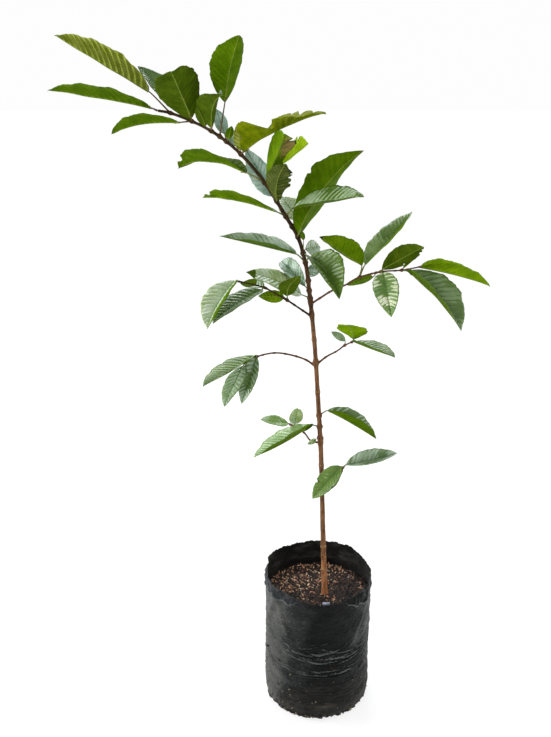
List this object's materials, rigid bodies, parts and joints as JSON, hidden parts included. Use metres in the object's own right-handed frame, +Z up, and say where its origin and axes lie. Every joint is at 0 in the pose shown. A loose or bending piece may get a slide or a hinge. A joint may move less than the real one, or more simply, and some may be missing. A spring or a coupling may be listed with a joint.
{
  "type": "guava sapling in a nursery bag",
  "caption": "Young guava tree with one slender bending stem, thin side boughs and broad ribbed leaves in opposite pairs, growing in a round black film bag of bark mix",
  "frame": {"origin": "The middle of the bag's flat underside, which is the base mount.", "axes": "+Z is up, along the stem and the part's longest side. +X is to the right of the plant's front and +Y is to its back. The stem leans and bends over towards -X."},
  "size_m": [0.5512, 0.1967, 0.9171],
  "materials": {
    "bag_film": "satin",
    "potting_mix": "matte",
    "bark": "matte",
    "leaf": "satin"
  },
  "bodies": {
    "root": {"nursery_bag": "bag_film", "potting_mix": "potting_mix", "stem": "bark", "bough_low_right": "bark", "bough_low_left": "bark", "bough_middle_left": "bark", "bough_middle_right": "bark", "bough_upper_left": "bark", "bough_upper_right": "bark", "stem_leaves_01": "leaf", "stem_leaves_02": "leaf", "stem_leaves_03": "leaf", "stem_leaves_04": "leaf", "stem_leaves_05": "leaf", "stem_leaves_06": "leaf", "stem_leaves_07": "leaf", "stem_leaves_08": "leaf", "stem_leaves_09": "leaf", "stem_leaves_10": "leaf", "stem_leaves_11": "leaf", "stem_leaves_12": "leaf", "stem_leaves_13": "leaf", "stem_leaves_14": "leaf", "stem_leaves_15": "leaf", "stem_leaves_16": "leaf", "stem_leaves_17": "leaf", "stem_leaves_18": "leaf", "stem_leaves_19": "leaf", "stem_leaves_tip": "leaf", "foliage_low_right": "leaf", "foliage_low_left": "leaf", "foliage_middle_left": "leaf", "foliage_middle_right": "leaf", "foliage_upper_left": "leaf", "foliage_upper_right": "leaf"}
  },
  "joints": []
}
